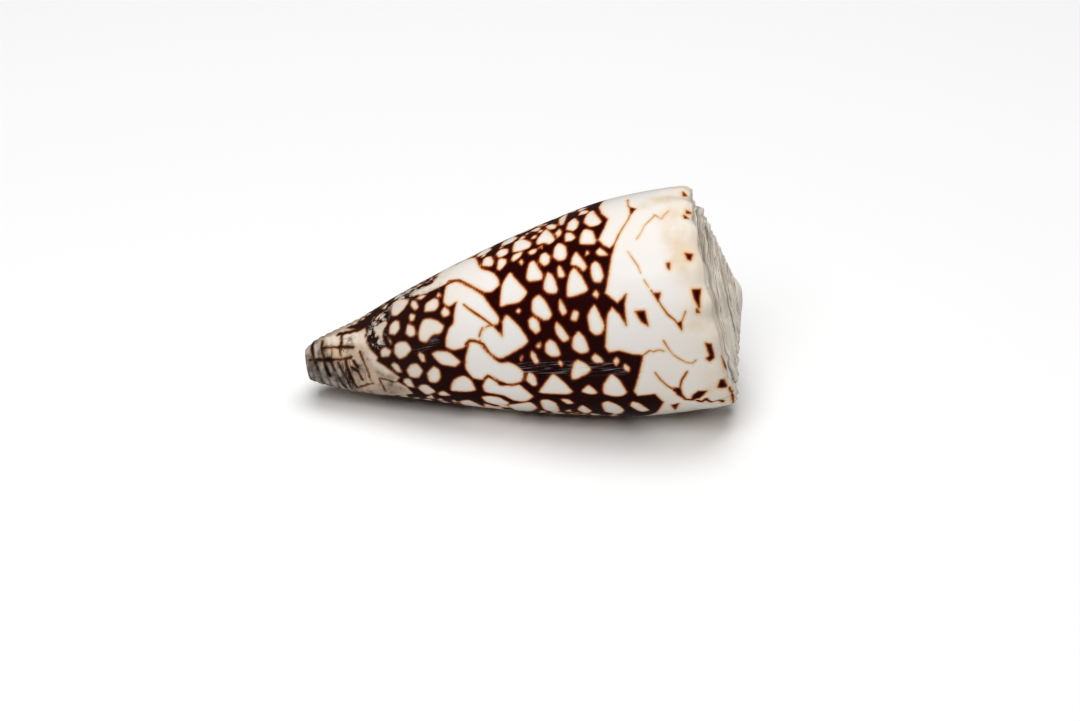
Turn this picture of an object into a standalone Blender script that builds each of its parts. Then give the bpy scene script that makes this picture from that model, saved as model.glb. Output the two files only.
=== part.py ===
"""A cone shell lying on its aperture, as one closed solid.

The shell is a tube of shell wall coiled about an axis, so its faces are computed from the coil. In the
shell's own frame the siphonal end is at the origin and the apex on +X. Angles are counted in turns: 0 is
straight down, 0.25 is the side that faces -Y and 0.5 is the top. The shell grows in the direction of rising
turn, which is clockwise seen from the apex: a right-handed shell. The last whorl starts under the lip and
ends at the lip, one turn later. A share is a height on the side, from 0 at the siphonal end to 1 at the
shoulder.
"""

import math

import bmesh
import bpy
import numpy as np

# Driving dimensions, in metres
SHELL_LENGTH = 0.075
SIDE_HEIGHT = 0.0697
SPIRE_HEIGHT = 0.0050
LAST_WHORL_DROP = 0.0012
SPIRE_LEAN = 0.00075

# Outline of the side at the reference turn: height, and radius
SIDE_OUTLINE = (
    (0.0000, 0.0027),
    (0.0015, 0.0037),
    (0.0040, 0.0047),
    (0.0107, 0.0069),
    (0.0191, 0.0097),
    (0.0276, 0.0124),
    (0.0354, 0.0146),
    (0.0445, 0.0168),
    (0.0547, 0.0187),
    (0.0620, 0.0191),
    (0.0670, 0.0190),
    (0.0689, 0.0186),
    (0.0697, 0.0180),
)
REFERENCE_TURN = 120 / 360

# Growth: in one turn the radius is multiplied by this ratio, which is larger near the siphonal end
RATIO = 1.22
RATIO_GAIN_AT_TIP = 0.60
RATIO_GAIN_FADE = 8

# The lip, which bulges forward halfway along, and the aperture behind it
LIP_TURN = 316 / 360
START_TURN = LIP_TURN - 1
LIP_BULGE = 7 / 360
LIP_WALL = 0.0007
FULL_WALL = 0.0017
WALL_SHARE_AT_TIP = 0.55
WALL_THINS_BELOW = 0.4
WALL_THICKENS_OVER = 25 / 360
APERTURE_DEPTH = 200 / 360
APERTURE_DEPTH_AT_TIP = 140 / 360
APERTURE_DEPTH_AT_TOP = 55 / 360
APERTURE_DEEPENS_UP_TO = 0.3
APERTURE_SHRINKS_FROM = 0.75
APERTURE_TOP = 0.965
DEEP_END = (0.42, 0.58)
DEEP_END_PART = 0.96

# The underside is a little flattened, so the shell lies still on it
FLAT_TURN = -2 / 360
FLAT_PART = 0.085
FLAT_WIDTH = 26 / 360

# The siphonal end sags a little
SAG = 0.0005
SAG_HEIGHT = 0.009
SAG_WIDTH = 0.006

# Knobs along the shoulder, lower on each whorl inward
KNOBS_PER_TURN = 18
KNOB_HEIGHT = 0.00030
KNOB_FADE = 2
KNOBS_START = 0.9

# The spire's whorls: each is a gentle ramp up to a steep step, where it meets the next whorl in
RAMP_RISE = 0.25
STEP_START = 0.66
KNOBS_END = 0.45

# How the shell lies: rolled about its own axis, then pitched up until its side meets the floor
REST_ROLL = math.radians(1.7)
REST_PITCH = math.radians(10.4)

# Mesh counts
COLUMNS = 72
SIDE_ROWS = 26
ROWS_CROWD_AT_ENDS = 0.7
APERTURE_COLUMNS = 26
RAMP_ROWS = 3
COILED_WHORLS = 9
APEX_RINGS = 2
APEX_OFFSET = 0.3


def smoothstep(low, high, x):
    """0 below low, 1 above high, and an S-shaped rise between."""
    part = np.clip((x - low) / (high - low), 0.0, 1.0)
    return part * part * (3 - 2 * part)


def through_points(points, x):
    """A smooth curve through points: cubic spans, with the mean slope of the two sides at each point."""
    px, py = np.array(points).T
    slope = np.gradient(py, px)
    i = np.clip(np.searchsorted(px, x) - 1, 0, len(px) - 2)
    span = px[i + 1] - px[i]
    t = (x - px[i]) / span
    rise = (2 * t**3 - 3 * t**2 + 1) * py[i] + (3 * t**2 - 2 * t**3) * py[i + 1]
    return rise + span * ((t**3 - 2 * t**2 + t) * slope[i] + (t**3 - t**2) * slope[i + 1])


def size_at(turn):
    """How large the coil's shoulder is at a turn, against its size at the lip."""
    return RATIO ** (turn - LIP_TURN)


def knob(turn):
    """Height of the knobs along the shoulder: a cosine wave."""
    return KNOB_HEIGHT * size_at(turn) ** KNOB_FADE * np.cos(2 * np.pi * KNOBS_PER_TURN * turn)


def shoulder_height(turn):
    """Height of the shoulder's edge: that of a cone which leans up, less a drop along the last whorl."""
    lean = SPIRE_LEAN * np.cos(2 * np.pi * turn)
    drop = LAST_WHORL_DROP * np.clip(turn - START_TURN, 0, 1) ** 2
    return SHELL_LENGTH - (SPIRE_HEIGHT - lean) * size_at(turn) - drop


def side_radius(turn, share):
    """Radius of the side: the outline, multiplied by the ratio for each turn, and flattened below."""
    outline = through_points(SIDE_OUTLINE, share * SIDE_HEIGHT)
    ratio = RATIO + RATIO_GAIN_AT_TIP * (1 - share) ** RATIO_GAIN_FADE
    from_flat = (turn - FLAT_TURN + 0.5) % 1.0 - 0.5
    flattened = 1 - FLAT_PART * np.exp(-((from_flat / FLAT_WIDTH) ** 2))
    return outline * flattened * ratio ** (turn - REFERENCE_TURN)


def in_space(turn, radius, height):
    """Points at these turns, distances from the axis and heights. The axis sags near the siphonal end."""
    angle = 2 * np.pi * turn
    sag = SAG * np.exp(-(((height - SAG_HEIGHT) / SAG_WIDTH) ** 2))
    coordinates = (height, -radius * np.sin(angle), -radius * np.cos(angle) - sag)
    return np.stack(np.broadcast_arrays(*coordinates), axis=-1)


def lip_turn(share):
    """The turn at which the lip's edge lies."""
    return LIP_TURN + LIP_BULGE * np.sin(np.pi * share)


def side_points(turn, share):
    """The outer face of the last whorl, with the knobs pushing out its top."""
    bump = knob(turn) * smoothstep(KNOBS_START, 1.0, share)
    return in_space(turn, side_radius(turn, share) + bump, share * (shoulder_height(turn) + bump))


def aperture_points(share, q):
    """The aperture's inner face in one row: in along the wall, round its deep end, and out along the core.

    q runs from 0 at the lip's inner edge to 1 at the start of the whorl. The turn goes in and out as a sine
    of q, and the radius passes from the wall's inner face to the core's around q = 0.5.
    """
    deepening = smoothstep(0.0, APERTURE_DEEPENS_UP_TO, share)
    depth = APERTURE_DEPTH_AT_TIP + (APERTURE_DEPTH - APERTURE_DEPTH_AT_TIP) * deepening
    depth = depth + (APERTURE_DEPTH_AT_TOP - depth) * smoothstep(APERTURE_SHRINKS_FROM, APERTURE_TOP, share)
    inward = depth * np.sin(np.pi * q)
    turn = lip_turn(share) - inward
    wall = LIP_WALL + (FULL_WALL - LIP_WALL) * smoothstep(0.0, WALL_THICKENS_OVER, inward)
    wall = wall * (WALL_SHARE_AT_TIP + (1 - WALL_SHARE_AT_TIP) * smoothstep(0.0, WALL_THINS_BELOW, share))
    outer = side_radius(turn, share) - wall
    core = side_radius(turn - 1, share)
    across = DEEP_END_PART * smoothstep(*DEEP_END, q) + (1 - DEEP_END_PART) * q
    return in_space(turn, outer + (core - outer) * across, share * shoulder_height(turn))


def coil_radius(turn, inward):
    """Distance from the axis on the spire: the shoulder's, divided by the ratio for each whorl inward."""
    return side_radius(turn, np.float64(1.0)) / RATIO**inward


def spire_points(turn, inward):
    """The spire's top face at a turn, this many whorls inward from the shoulder."""
    own = turn - np.floor(inward)
    part = inward - np.floor(inward)
    step = smoothstep(STEP_START, 1.0, part)
    low = shoulder_height(own)
    high = shoulder_height(own - 1)
    height = low + (high - low) * (RAMP_RISE * part + (1 - RAMP_RISE) * step)
    bump = knob(own) * (1 - smoothstep(0.0, KNOBS_END, part)) + knob(own - 1) * step
    return in_space(turn, coil_radius(turn, inward) + bump, height + bump)


class Skin:
    """Vertices and faces, gathered block by block."""

    def __init__(self):
        self.blocks = []
        self.faces = []
        self.count = 0

    def add(self, block):
        """Add a block of points, and return their vertex numbers in the same layout."""
        numbers = self.count + np.arange(block[..., 0].size).reshape(block.shape[:-1])
        self.blocks.append(block.reshape(-1, 3))
        self.count += numbers.size
        return numbers

    def fill(self, grid):
        """Add quads between neighbouring rows and columns of a grid of vertex numbers."""
        corners = (grid[:-1, :-1], grid[:-1, 1:], grid[1:, 1:], grid[1:, :-1])
        self.faces.extend(np.stack(corners, axis=-1).reshape(-1, 4).tolist())

    def points(self):
        """All points so far."""
        return np.concatenate(self.blocks)


def add_side(skin, share, around):
    """The last whorl's outer face. Each row starts under the lip and ends on the lip's edge."""
    side = skin.add(side_points(lip_turn(share) - 1 + around, share))
    skin.fill(side)
    return side


def add_aperture(skin, share, side):
    """The aperture, open at the siphonal end and closed below the shoulder. Returns the lip's top corner."""
    last = int((share[:, 0] <= APERTURE_TOP).sum()) - 1
    q = np.linspace(0, 1, APERTURE_COLUMNS + 1)[None, :-1]
    inner = skin.add(aperture_points(share[: last + 1], q))
    skin.fill(np.hstack([side[: last + 1, -1:], inner, side[: last + 1, :1]]))
    above = skin.add(aperture_points(share[last + 1 :], q[:, :1]))
    inner_edge = np.vstack([inner[last:, :1], above])
    skin.fill(np.hstack([side[last:, -1:], inner_edge, side[last:, :1]]))
    skin.faces.append([*inner[last].tolist(), int(side[last, 0])])
    skin.faces.append([*side[0].tolist(), *inner[0].tolist()])
    return int(inner_edge[-1, 0])


def add_spire(skin, side, around, lip_corner):
    """The spire's whorls as one strip: each row's end meets the start of the row one whorl further in."""
    rows = COILED_WHORLS * RAMP_ROWS
    inward = np.arange(1, rows + 1)[:, None] / RAMP_ROWS
    coiled = skin.add(spire_points(START_TURN + around[:, :-1], inward))
    at_lip = skin.add(spire_points(np.float64(LIP_TURN), inward[: RAMP_ROWS - 1]))
    starts = np.vstack([side[-1:, :1], coiled[: rows - RAMP_ROWS, :1]])
    spire = np.vstack([side[-1:], np.hstack([coiled, np.vstack([at_lip, starts])])])
    skin.fill(spire)
    skin.faces.append([lip_corner, *spire[: RAMP_ROWS + 1, -1].tolist()])
    return spire


def add_apex(skin, spire):
    """Rings that close the spire's middle, drawn in to a point beside the axis so that none of them folds."""
    loop = np.concatenate([spire[-1], spire[-RAMP_ROWS:-1, 0]])
    rim = skin.points()[loop]
    smallest = np.hypot(rim[0, 1], rim[0, 2])
    middle = in_space(START_TURN - 0.25, smallest * APEX_OFFSET, SHELL_LENGTH)
    for ring in range(1, APEX_RINGS + 1):
        part = ring / (APEX_RINGS + 1)
        rise = 1 - (1 - part) ** 2
        inner = skin.add(rim + (middle - rim) * np.array([rise, part, part]))
        skin.fill(np.stack([np.append(loop, loop[0]), np.append(inner, inner[0])]))
        loop = inner
    skin.faces.append(loop.tolist())


def shell_mesh():
    """Vertices and faces of the closed shell, in its own frame."""
    even = np.linspace(0, 1, SIDE_ROWS + 1)[:, None]
    share = even - ROWS_CROWD_AT_ENDS * np.sin(2 * np.pi * even) / (2 * np.pi)
    around = np.linspace(0, 1, COLUMNS + 1)[None, :]
    skin = Skin()
    side = add_side(skin, share, around)
    lip_corner = add_aperture(skin, share, side)
    spire = add_spire(skin, side, around, lip_corner)
    add_apex(skin, spire)
    return skin.points(), skin.faces


def shell_material():
    """Polished shell, in the mean colour of its cream ground and dark net."""
    material = bpy.data.materials.new("polished_shell")
    material.use_nodes = True
    surface = material.node_tree.nodes["Principled BSDF"]
    surface.inputs["Base Color"].default_value = (0.47, 0.36, 0.27, 1.0)
    surface.inputs["Roughness"].default_value = 0.3
    surface.inputs["Metallic"].default_value = 0.0
    return material


def build_shell(collection):
    """The shell's object, laid down on its aperture with the middle of its box over the origin."""
    points, faces = shell_mesh()
    mesh = bpy.data.meshes.new("shell")
    mesh.from_pydata(points.tolist(), [], faces)
    work = bmesh.new()
    work.from_mesh(mesh)
    bmesh.ops.recalc_face_normals(work, faces=work.faces)
    work.to_mesh(mesh)
    work.free()
    mesh.shade_smooth()
    mesh.materials.append(shell_material())
    shell = bpy.data.objects.new("shell", mesh)
    shell.rotation_euler = (REST_ROLL, -REST_PITCH, 0.0)
    lying = points @ np.array(shell.rotation_euler.to_matrix()).T
    low = lying.min(axis=0)
    high = lying.max(axis=0)
    shell.location = (-(low[0] + high[0]) / 2, -(low[1] + high[1]) / 2, -low[2])
    collection.objects.link(shell)


def main():
    for obj in list(bpy.data.objects):
        bpy.data.objects.remove(obj, do_unlink=True)
    collection = bpy.data.collections.new("cone_shell")
    bpy.context.scene.collection.children.link(collection)
    build_shell(collection)


main()
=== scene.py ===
"""The looks of a marbled cone shell that lies on its lip, on a pale studio floor."""

import math
import bmesh
import bpy
import numpy as np
from mathutils import Matrix, Vector


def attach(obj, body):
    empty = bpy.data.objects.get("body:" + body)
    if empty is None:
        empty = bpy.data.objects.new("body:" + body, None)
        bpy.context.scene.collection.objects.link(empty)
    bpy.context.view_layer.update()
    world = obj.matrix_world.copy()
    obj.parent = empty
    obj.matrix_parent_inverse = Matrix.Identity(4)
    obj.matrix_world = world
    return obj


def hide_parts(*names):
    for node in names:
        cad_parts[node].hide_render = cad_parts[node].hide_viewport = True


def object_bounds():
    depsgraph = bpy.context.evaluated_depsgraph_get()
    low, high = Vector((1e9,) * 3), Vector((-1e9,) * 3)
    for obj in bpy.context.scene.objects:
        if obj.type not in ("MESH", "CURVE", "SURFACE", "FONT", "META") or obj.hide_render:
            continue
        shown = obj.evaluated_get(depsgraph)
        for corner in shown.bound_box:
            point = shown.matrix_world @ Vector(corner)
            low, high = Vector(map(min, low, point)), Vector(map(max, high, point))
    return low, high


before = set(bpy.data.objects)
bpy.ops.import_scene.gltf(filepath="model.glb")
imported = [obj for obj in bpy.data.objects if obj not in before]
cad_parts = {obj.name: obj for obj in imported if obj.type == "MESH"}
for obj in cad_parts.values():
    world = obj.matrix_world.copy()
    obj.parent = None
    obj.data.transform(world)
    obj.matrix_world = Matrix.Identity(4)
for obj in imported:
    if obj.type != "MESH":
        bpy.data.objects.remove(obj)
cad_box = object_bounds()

# The shell: a sea snail's empty shell, of hard polished lime
# It is one tube of shell wall, coiled about an axis and laid down at the lip, so every face follows the coil.
# Lengths are in metres, and heights run from the siphonal end to the apex. Angles are in turns: 0 is straight
# down, 0.25 faces the camera, 0.5 is the top.
SHELL_LENGTH = 0.075
SPIRE_HEIGHT = 0.0050
SPIRE_LEAN = 0.00075
LAST_WHORL_DROP = 0.0012
SIDE_HEIGHT = 0.0697
SIDE_OUTLINE = (
    # height and radius
    (0.0000, 0.0027),
    (0.0015, 0.0037),
    (0.0040, 0.0047),
    (0.0107, 0.0069),
    (0.0191, 0.0097),
    (0.0276, 0.0124),
    (0.0354, 0.0146),
    (0.0445, 0.0168),
    (0.0547, 0.0187),
    (0.0620, 0.0191),
    (0.0670, 0.0190),
    (0.0689, 0.0186),
    (0.0697, 0.0180),
)
REFERENCE_TURN = 120 / 360
RATIO = 1.22
RATIO_GAIN_AT_TIP = 0.60
RATIO_GAIN_FADE = 8
LIP_TURN = 316 / 360
START_TURN = LIP_TURN - 1
LIP_BULGE = 7 / 360
FLAT_TURN = -2 / 360
FLAT_PART = 0.085
FLAT_WIDTH = 26 / 360
SAG = 0.0005
SAG_HEIGHT = 0.009
SAG_WIDTH = 0.006
KNOBS_PER_TURN = 18
KNOB_HEIGHT = 0.00030
KNOB_UNEVEN = 0.5
KNOB_FADE = 2
KNOBS_START = 0.9
SKIN_INSET = 0.00004


def smoothstep(low, high, x):
    """0 below low, 1 above high, and an S-shaped rise between."""
    part = np.clip((x - low) / (high - low), 0.0, 1.0)
    return part * part * (3 - 2 * part)


def through_points(points, x):
    """A smooth curve through points: cubic spans, with the mean slope of the two sides at each point."""
    px, py = np.array(points).T
    slope = np.gradient(py, px)
    i = np.clip(np.searchsorted(px, x) - 1, 0, len(px) - 2)
    span = px[i + 1] - px[i]
    t = (x - px[i]) / span
    rise = (2 * t**3 - 3 * t**2 + 1) * py[i] + (3 * t**2 - 2 * t**3) * py[i + 1]
    return rise + span * ((t**3 - 2 * t**2 + t) * slope[i] + (t**3 - t**2) * slope[i + 1])


def lattice(x, y, seed):
    """A value from -1 to 1 for each whole-number pair: the broken part of a large sine."""
    return 2 * np.modf(np.abs(np.sin(x * 12.9898 + y * 78.233 + seed * 37.719) * 43758.5453))[0] - 1


def noise(x, y, seed):
    """Smooth noise: values at whole numbers, blended with an S-shaped weight along each axis."""
    left, low = np.floor(x), np.floor(y)
    u, v = smoothstep(0, 1, x - left), smoothstep(0, 1, y - low)
    below = lattice(left, low, seed) * (1 - u) + lattice(left + 1, low, seed) * u
    above = lattice(left, low + 1, seed) * (1 - u) + lattice(left + 1, low + 1, seed) * u
    return below * (1 - v) + above * v


def size_at(turn):
    """How large the coil's shoulder is at a turn, against its size at the lip."""
    return RATIO ** (turn - LIP_TURN)


def knob(turn):
    """Height of the knobs along the shoulder: a cosine wave, uneven from knob to knob."""
    uneven = 1 + KNOB_UNEVEN * noise(turn * KNOBS_PER_TURN, 0 * turn, 3)
    return KNOB_HEIGHT * uneven * size_at(turn) ** KNOB_FADE * np.cos(2 * np.pi * KNOBS_PER_TURN * turn)


def shoulder_height(turn):
    """Height of the shoulder's edge: that of a cone which leans up, less a drop along the last whorl."""
    lean = SPIRE_LEAN * np.cos(2 * np.pi * turn)
    drop = LAST_WHORL_DROP * np.clip(turn - START_TURN, 0, 1) ** 2
    return SHELL_LENGTH - (SPIRE_HEIGHT - lean) * size_at(turn) - drop


def side_radius(turn, share):
    """Radius of the side: the outline, multiplied by the ratio for each turn, and flattened below."""
    outline = through_points(SIDE_OUTLINE, share * SIDE_HEIGHT)
    ratio = RATIO + RATIO_GAIN_AT_TIP * (1 - share) ** RATIO_GAIN_FADE
    from_flat = (turn - FLAT_TURN + 0.5) % 1.0 - 0.5
    flattened = 1 - FLAT_PART * np.exp(-((from_flat / FLAT_WIDTH) ** 2))
    return outline * flattened * ratio ** (turn - REFERENCE_TURN) - SKIN_INSET


def in_space(turn, radius, height):
    """Points at these turns, distances from the axis and heights. The axis sags near the siphonal end."""
    angle = 2 * np.pi * turn
    sag = SAG * np.exp(-(((height - SAG_HEIGHT) / SAG_WIDTH) ** 2))
    coordinates = (height, -radius * np.sin(angle), -radius * np.cos(angle) - sag)
    return np.stack(np.broadcast_arrays(*coordinates), axis=-1)


def lip_turn(share):
    """The turn at which the lip's edge lies."""
    return LIP_TURN + LIP_BULGE * np.sin(np.pi * share)


# Fine relief of the side, which the solid leaves out
GROWTH_RELIEF = 0.000006
GROWTH_LINES_PER_TURN = 150
FINE_LINES_PER_TURN = 330
RIB_RELIEF = 0.00010
RIBS_PER_METRE = 780
RIBS_UP_TO = 0.24
RIB_WANDER = 0.5
RIB_TOP = 0.3
RIB_WEAR = 0.7


def rib_wave(turn, share, height):
    """Spiral ribs near the siphonal end: a sine along the height, which wanders a little round the shell."""
    wander = RIB_WANDER * noise(turn * 6, share * 9, 13)
    return np.sin(2 * np.pi * RIBS_PER_METRE * height + wander)


def side_relief(turn, share):
    """Relief of the side: growth lines from noise along the turns, and ribs with flat tops and worn spots."""
    lines = noise(turn * GROWTH_LINES_PER_TURN, share * 2, 11)
    lines = lines + noise(turn * FINE_LINES_PER_TURN, share * 3, 12)
    height = share * SIDE_HEIGHT
    fade = (1 - smoothstep(RIBS_UP_TO * 0.4, RIBS_UP_TO, share)) * smoothstep(0.0, 0.02, share)
    rib = np.minimum(rib_wave(turn, share, height), RIB_TOP) - RIB_TOP
    worn = np.minimum(RIB_WEAR * noise(turn * 26, height * 1100, 14), 0)
    return GROWTH_RELIEF * lines - SKIN_INSET + RIB_RELIEF * (rib + worn) * fade


def side_points(turn, share):
    """The outer face of the last whorl, with the knobs pushing out its top."""
    bump = knob(turn) * smoothstep(KNOBS_START, 1.0, share)
    radius = side_radius(turn, share) + bump + side_relief(turn, share)
    return in_space(turn, radius, share * (shoulder_height(turn) + bump))


# The aperture: its wall, how far in it reaches at the tip, lower down and at the top, and its deep end
LIP_WALL = 0.0007
FULL_WALL = 0.0017
WALL_SHARE_AT_TIP = 0.55
WALL_THINS_BELOW = 0.4
WALL_THICKENS_OVER = 25 / 360
APERTURE_DEPTH_AT_TIP = 140 / 360
APERTURE_DEPTH = 200 / 360
APERTURE_DEPTH_AT_TOP = 55 / 360
APERTURE_DEEPENS_UP_TO = 0.3
APERTURE_SHRINKS_FROM = 0.75
APERTURE_TOP = 0.965
DEEP_END = (0.42, 0.58)
DEEP_END_PART = 0.96


def aperture_points(share, q):
    """The aperture's inner face in one row: in along the wall, round its deep end, and out along the core.

    q runs from 0 at the lip's inner edge to 1 at the start of the whorl. The turn goes in and out as a sine
    of q, and the radius passes from the wall's inner face to the core's around q = 0.5.
    """
    deepening = smoothstep(0.0, APERTURE_DEEPENS_UP_TO, share)
    depth = APERTURE_DEPTH_AT_TIP + (APERTURE_DEPTH - APERTURE_DEPTH_AT_TIP) * deepening
    shrinking = smoothstep(APERTURE_SHRINKS_FROM, APERTURE_TOP, share)
    depth = depth + (APERTURE_DEPTH_AT_TOP - depth) * shrinking
    inward = depth * np.sin(np.pi * q)
    turn = lip_turn(share) - inward
    wall = LIP_WALL + (FULL_WALL - LIP_WALL) * smoothstep(0.0, WALL_THICKENS_OVER, inward)
    above_tip = smoothstep(0.0, WALL_THINS_BELOW, share)
    wall = wall * (WALL_SHARE_AT_TIP + (1 - WALL_SHARE_AT_TIP) * above_tip)
    outer = side_radius(turn, share) - wall
    core = side_radius(turn - 1, share)
    across = DEEP_END_PART * smoothstep(*DEEP_END, q) + (1 - DEEP_END_PART) * q
    return in_space(turn, outer + (core - outer) * across, share * shoulder_height(turn))


# The spire: how far each whorl rises before its step, where the step starts, and its threads and erosion
RAMP_RISE = 0.25
STEP_START = 0.66
KNOBS_END = 0.45
THREADS_PER_WHORL = 2
THREAD_RELIEF = 0.000022
THREAD_WANDER = 0.6
EROSION = 0.0004
ERODED_BELOW = 0.1
RELIEF_STARTS_OVER = 0.25


def spire_points(turn, inward):
    """The spire's worn top face at a turn, this many whorls inward from the shoulder.

    Each whorl is a gentle ramp up to a steep step at the next whorl in. Spiral threads run round it, and
    erosion takes away from it where smooth noise is low. The noise follows the coil, with no seam.
    """
    own = turn - np.floor(inward)
    part = inward - np.floor(inward)
    step = smoothstep(STEP_START, 1.0, part)
    low = shoulder_height(own)
    high = shoulder_height(own - 1)
    height = low + (high - low) * (RAMP_RISE * part + (1 - RAMP_RISE) * step)
    bump = knob(own) * (1 - smoothstep(0.0, KNOBS_END, part)) + knob(own - 1) * step
    radius = side_radius(turn, np.float64(1.0)) / RATIO**inward
    along = turn - inward
    within = 2 * np.minimum(part, 1 - part)
    wander = THREAD_WANDER * noise(along * 9, within * 2, 23)
    threads = THREAD_RELIEF * (np.cos(2 * np.pi * (THREADS_PER_WHORL * part + wander)) - 1)
    worn = noise(along * 30, within * 1.7, 21) + 0.7 * noise(along * 75, within * 3, 22)
    pits = EROSION * np.minimum(worn - ERODED_BELOW, 0)
    relief = (threads + pits) * smoothstep(0.0, RELIEF_STARTS_OVER, within) * size_at(own)
    return in_space(turn, radius + bump, height + bump + relief)


class Skin:
    """Vertices and faces, gathered block by block, with what the pattern needs to know of each vertex."""

    def __init__(self):
        self.blocks = []
        self.faces = []
        self.count = 0

    def add(self, block, turn, share, inward, hidden=0.0):
        """Add a block of points, and return their vertex numbers in the same layout."""
        numbers = self.count + np.arange(block[..., 0].size).reshape(block.shape[:-1])
        marks = [np.broadcast_to(mark, block.shape[:-1]) for mark in (turn, share, inward, hidden)]
        self.blocks.append(np.concatenate([block, np.stack(marks, axis=-1)], axis=-1).reshape(-1, 7))
        self.count += numbers.size
        return numbers

    def fill(self, grid):
        """Add quads between neighbouring rows and columns of a grid of vertex numbers."""
        corners = (grid[:-1, :-1], grid[:-1, 1:], grid[1:, 1:], grid[1:, :-1])
        self.faces.append(np.stack(corners, axis=-1).reshape(-1, 4))

    def table(self):
        """All vertices so far: place, turn, share, whorls inward, and 1 inside the aperture."""
        return np.concatenate(self.blocks)


# Columns and rows of the side: columns stand closer where it shows, and rows closer at both ends
COLUMNS = 316
COLUMNS_CROWD = 2.4
CROWDED_FROM = 0.02
CROWDED_TO = 0.63
CROWDS_OVER = 0.05
SIDE_ROWS = 216
ROWS_CROWD_AT_ENDS = 0.35
even_columns = np.linspace(0, 1, 2001)
column_turns = START_TURN + even_columns
crowding = smoothstep(CROWDED_FROM - CROWDS_OVER, CROWDED_FROM + CROWDS_OVER, column_turns)
thinning = smoothstep(CROWDED_TO - CROWDS_OVER, CROWDED_TO + CROWDS_OVER, column_turns)
crowding = crowding * (1 - thinning)
filled = np.concatenate([[0], np.cumsum(1 + COLUMNS_CROWD * crowding[1:])])
around = np.interp(np.linspace(0, filled[-1], COLUMNS + 1), filled, even_columns)[None, :]
even_rows = np.linspace(0, 1, SIDE_ROWS + 1)[:, None]
share = even_rows - ROWS_CROWD_AT_ENDS * np.sin(2 * np.pi * even_rows) / (2 * np.pi)

# The last whorl's outer face: each row starts under the lip and ends on the lip's edge
skin = Skin()
side_turn = lip_turn(share) - 1 + around
side = skin.add(side_points(side_turn, share), side_turn, share, 0.0)
skin.fill(side)

# The aperture, open at the siphonal end and closed below the shoulder
APERTURE_COLUMNS = 20
last = int((share[:, 0] <= APERTURE_TOP).sum()) - 1
open_share = share[: last + 1]
closed_share = share[last + 1 :]
q = np.linspace(0, 1, APERTURE_COLUMNS + 1)[None, :-1]
inner = skin.add(aperture_points(open_share, q), lip_turn(open_share), open_share, 0.0, 1.0)
skin.fill(np.hstack([side[: last + 1, -1:], inner, side[: last + 1, :1]]))
above = skin.add(aperture_points(closed_share, q[:, :1]), LIP_TURN, closed_share, 0.0, 1.0)
inner_edge = np.vstack([inner[last:, :1], above])
skin.fill(np.hstack([side[last:, -1:], inner_edge, side[last:, :1]]))
polygons = [[*inner[last], side[last, 0]], [*side[0], *inner[0]]]

# The spire, as one spiral strip: each row's end meets the start of the row one whorl further in
RAMP_ROWS = 6
COILED_WHORLS = 9
rows = COILED_WHORLS * RAMP_ROWS
inward = np.arange(1, rows + 1)[:, None] / RAMP_ROWS
spire_turn = START_TURN + around[:, :-1]
coiled = skin.add(spire_points(spire_turn, inward), spire_turn, 1.0, inward)
lip_inward = inward[: RAMP_ROWS - 1]
at_lip = skin.add(spire_points(np.float64(LIP_TURN), lip_inward), LIP_TURN, 1.0, lip_inward)
starts = np.vstack([side[-1:, :1], coiled[: rows - RAMP_ROWS, :1]])
spire = np.vstack([side[-1:], np.hstack([coiled, np.vstack([at_lip, starts])])])
skin.fill(spire)
polygons.append([inner_edge[-1, 0], *spire[: RAMP_ROWS + 1, -1]])

# The apex: rings drawn in to a point beside the axis, so that none of them folds
APEX_RINGS = 5
APEX_OFFSET = 0.3
loop = np.concatenate([spire[-1], spire[-RAMP_ROWS:-1, 0]])
rim = skin.table()[loop, :3]
smallest = np.hypot(rim[0, 1], rim[0, 2])
middle = in_space(START_TURN - 0.25, smallest * APEX_OFFSET, SHELL_LENGTH)
for ring in range(1, APEX_RINGS + 1):
    part = ring / (APEX_RINGS + 1)
    rise = 1 - (1 - part) ** 2
    ring_points = rim + (middle - rim) * np.array([rise, part, part])
    ring_loop = skin.add(ring_points, START_TURN, 1.0, COILED_WHORLS + part)
    skin.fill(np.stack([np.append(loop, loop[0]), np.append(ring_loop, ring_loop[0])]))
    loop = ring_loop
polygons.append(list(loop))

# The shell lies down: rolled, pitched, its box's middle over the origin, and no larger than the solid's box
REST_ROLL = math.radians(1.7)
REST_PITCH = math.radians(10.4)
table = skin.table()
turn, share_of, inward_of, hidden = table[:, 3:].T
lie_down = np.array(Matrix.Rotation(-REST_PITCH, 3, "Y") @ Matrix.Rotation(REST_ROLL, 3, "X"))
points = table[:, :3] @ lie_down.T
low, high = points.min(axis=0), points.max(axis=0)
points = points - np.array([(low[0] + high[0]) / 2, (low[1] + high[1]) / 2, low[2]])
room = (np.array(cad_box[1]) - np.array(cad_box[0])) / (high - low)
points = points * np.minimum(room, 1)

# The camera, which the places of the marks need: a long lens that looks down at the shell's back
CAMERA_AZIMUTH = math.radians(-0.6)
CAMERA_ELEVATION = math.radians(30.0)
CAMERA_DISTANCE = 0.55
CAMERA_AIM = (0.0, 0.0, 0.018)
CAMERA_ASIDE = 0.0029
CAMERA_RAISED = -0.0100
FOCAL_PIXELS = 3246
PICTURE_WIDTH = 1080
PICTURE_HEIGHT = 721
SENSOR_WIDTH = 36.0

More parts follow.
